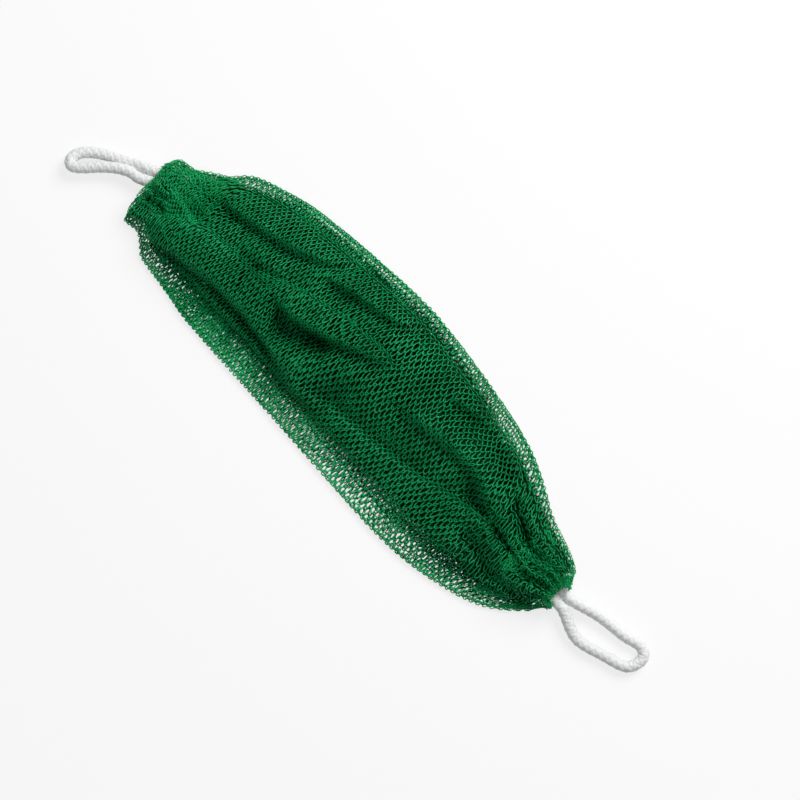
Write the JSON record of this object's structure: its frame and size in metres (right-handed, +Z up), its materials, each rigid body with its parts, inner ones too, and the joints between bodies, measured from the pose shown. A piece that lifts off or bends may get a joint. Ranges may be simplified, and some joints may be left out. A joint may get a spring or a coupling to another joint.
{
  "type": "net back scrubber",
  "caption": "Flat sleeve of knitted net over a folded net filling, drawn in at both ends, each with a braided cord hand loop for pulling it across the back.",
  "frame": {"origin": "on the table, under the middle of the net without its cord loops", "axes": "+X along the net towards the end whose loop lies open, -Y towards the edge with the wide flat flange, +Z up"},
  "size_m": [0.4603, 0.116, 0.029],
  "materials": {
    "net": "knitted nylon yarn, slightly glossy",
    "inner_net": "knitted nylon yarn, slightly glossy",
    "cord": "braided polyester, matt white",
    "thread": "twisted sewing thread"
  },
  "bodies": {
    "scrubber": {"outer_net": "net", "inner_net": "inner_net", "left_front_tail": "cord", "left_back_tail": "cord", "right_front_tail": "cord", "right_back_tail": "cord", "left_whipping": "thread", "right_whipping": "thread"},
    "left_loop": {"left_cord_loop": "cord"},
    "right_loop": {"right_cord_loop": "cord"}
  },
  "joints": [
    {"name": "left_loop_swing", "type": "hinge", "parent": "scrubber", "child": "left_loop", "pos_m": [-0.18, -0.011, 0.0067], "axis": [-0.4848, 0.8746, 0], "range_deg": [-90, 90]},
    {"name": "right_loop_swing", "type": "hinge", "parent": "scrubber", "child": "right_loop", "pos_m": [0.1745, -0.004, 0.0067], "axis": [0, -1, 0], "range_deg": [-90, 90]}
  ]
}
